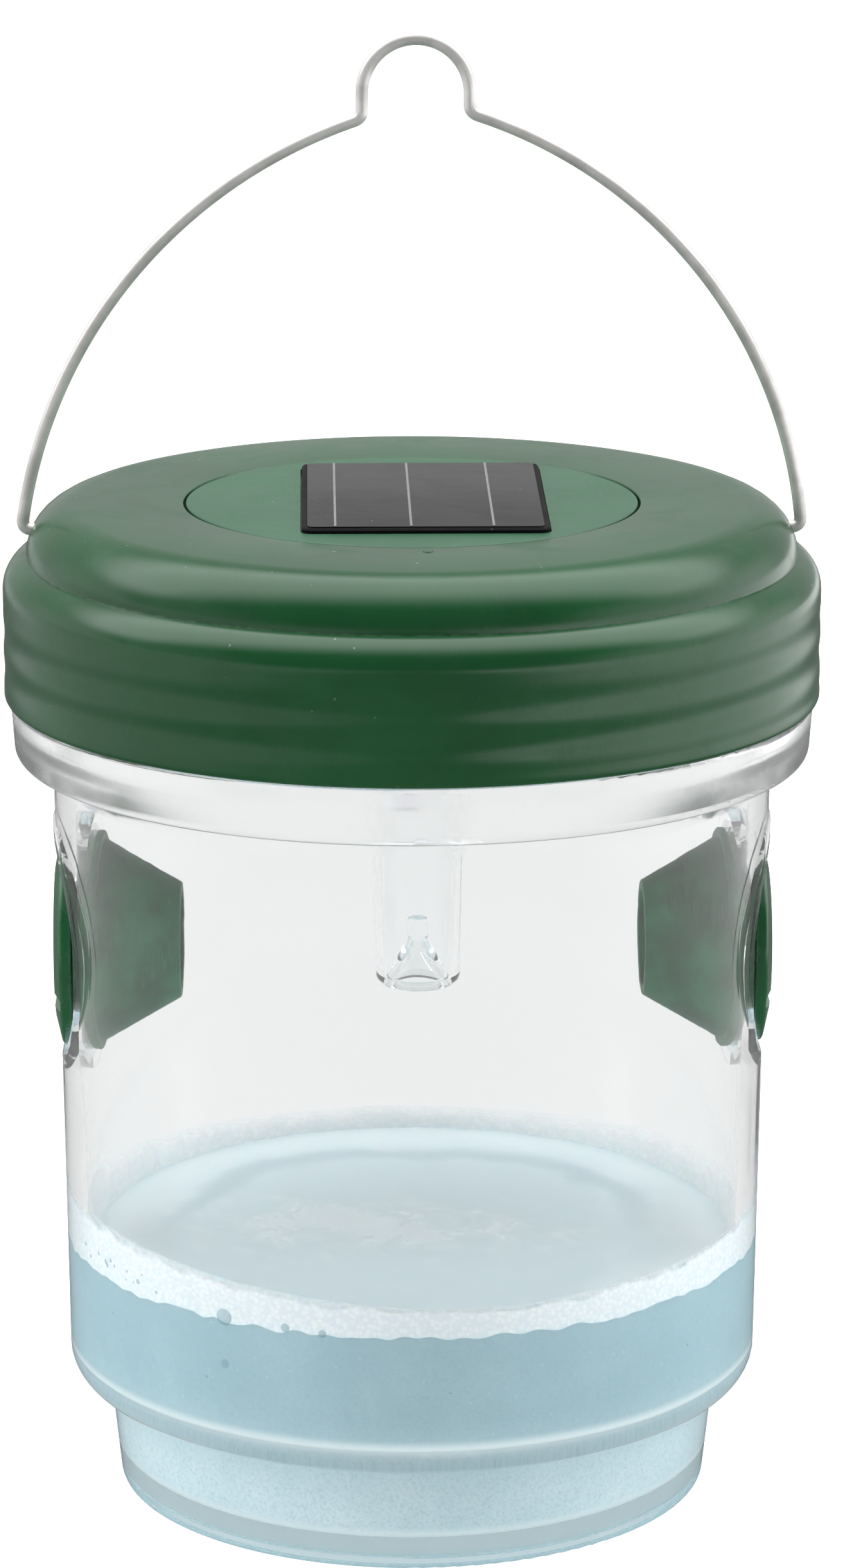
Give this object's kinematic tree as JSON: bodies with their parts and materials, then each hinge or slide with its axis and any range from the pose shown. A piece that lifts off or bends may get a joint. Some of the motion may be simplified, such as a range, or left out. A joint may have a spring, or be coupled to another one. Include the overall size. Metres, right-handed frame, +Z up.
{
  "type": "wasp trap",
  "caption": "Hanging solar wasp trap: clear jar of bait liquid with green cone entries, screw lid with solar panel and lamp tube, and a wire bail.",
  "frame": {"origin": "centre of the foot ring's underside", "axes": "+Z up; +X through both side entries and both ends of the bail; -Y towards the viewer"},
  "size_m": [0.125, 0.125, 0.227],
  "materials": {
    "clear_plastic": "clear polished",
    "bait": "pale blue water",
    "lid_green": "satin moulded",
    "disc_green": "fine satin",
    "entry_green": "satin moulded",
    "cone_green": "matt moulded",
    "seal_rubber": "matt",
    "panel_black": "satin board",
    "cell_grey": "glossy cell sheet",
    "silver_line": "printed silver",
    "steel_wire": "drawn wire",
    "lamp_epoxy": "tinted epoxy",
    "housing_green": "satin moulded",
    "board_green": "solder mask",
    "black_plastic": "moulded",
    "screw_steel": "zinc plated",
    "contact_nickel": "nickel plated",
    "cell_sleeve": "shrink sleeve",
    "ferrite": "ferrite and copper wire",
    "red_insulation": "insulation",
    "black_insulation": "insulation"
  },
  "bodies": {
    "jar": {"jar": "clear_plastic", "bait_liquid": "bait", "entry_cone_left": "cone_green", "entry_cone_right": "cone_green"},
    "seal": {"lid_seal": "seal_rubber"},
    "lid": {"lid": "lid_green", "solar_disc": "disc_green", "solar_panel": "panel_black", "solar_cells": "cell_grey", "cell_lines": "silver_line", "module_housing": "housing_green", "housing_gasket": "seal_rubber", "housing_screws": "screw_steel", "light_tube": "clear_plastic", "uv_led": "lamp_epoxy", "led_legs": "contact_nickel", "circuit_board": "board_green", "board_screws": "screw_steel", "driver_chip": "black_plastic", "inductor": "ferrite", "capacitor": "black_plastic", "switch_body": "contact_nickel", "panel_lead_red": "red_insulation", "panel_lead_black": "black_insulation", "battery": "cell_sleeve", "battery_spring": "contact_nickel", "contact_minus": "contact_nickel", "contact_plus": "contact_nickel"},
    "bail": {"bail": "steel_wire"},
    "left_cap": {"entry_cap_left": "entry_green"},
    "right_cap": {"entry_cap_right": "entry_green"},
    "switch": {"switch_slider": "black_plastic"},
    "battery_cover": {"battery_cover": "housing_green", "cover_screw": "screw_steel"}
  },
  "joints": [
    {"name": "lid_lift", "type": "slide", "parent": "jar", "child": "seal", "axis": [0, 0, 1], "range_m": [0, 0.0091]},
    {"name": "lid_turn", "type": "hinge", "parent": "seal", "child": "lid", "pos_m": [0, 0, 0.135], "axis": [0, 0, 1], "range_deg": [0, 540]},
    {"name": "bail_swing", "type": "hinge", "parent": "lid", "child": "bail", "pos_m": [0, 0, 0.1514], "axis": [1, 0, 0], "range_deg": [-78, 78]},
    {"name": "left_cap_turn", "type": "hinge", "parent": "jar", "child": "left_cap", "pos_m": [-0.0535, 0, 0.0866], "axis": [-1, 0, 0], "range_deg": [0, 60]},
    {"name": "right_cap_turn", "type": "hinge", "parent": "jar", "child": "right_cap", "pos_m": [0.0535, 0, 0.0866], "axis": [1, 0, 0], "range_deg": [0, 60]},
    {"name": "switch_slide", "type": "slide", "parent": "lid", "child": "switch", "axis": [1, 0, 0], "range_m": [0, 0.002]},
    {"name": "battery_cover_off", "type": "slide", "parent": "lid", "child": "battery_cover", "axis": [0, 0, -1], "range_m": [0, 0.025]}
  ],
  "couplings": [
    {"joint": "lid_lift", "follows": "lid_turn", "m_per_rad": 0.00095493}
  ]
}
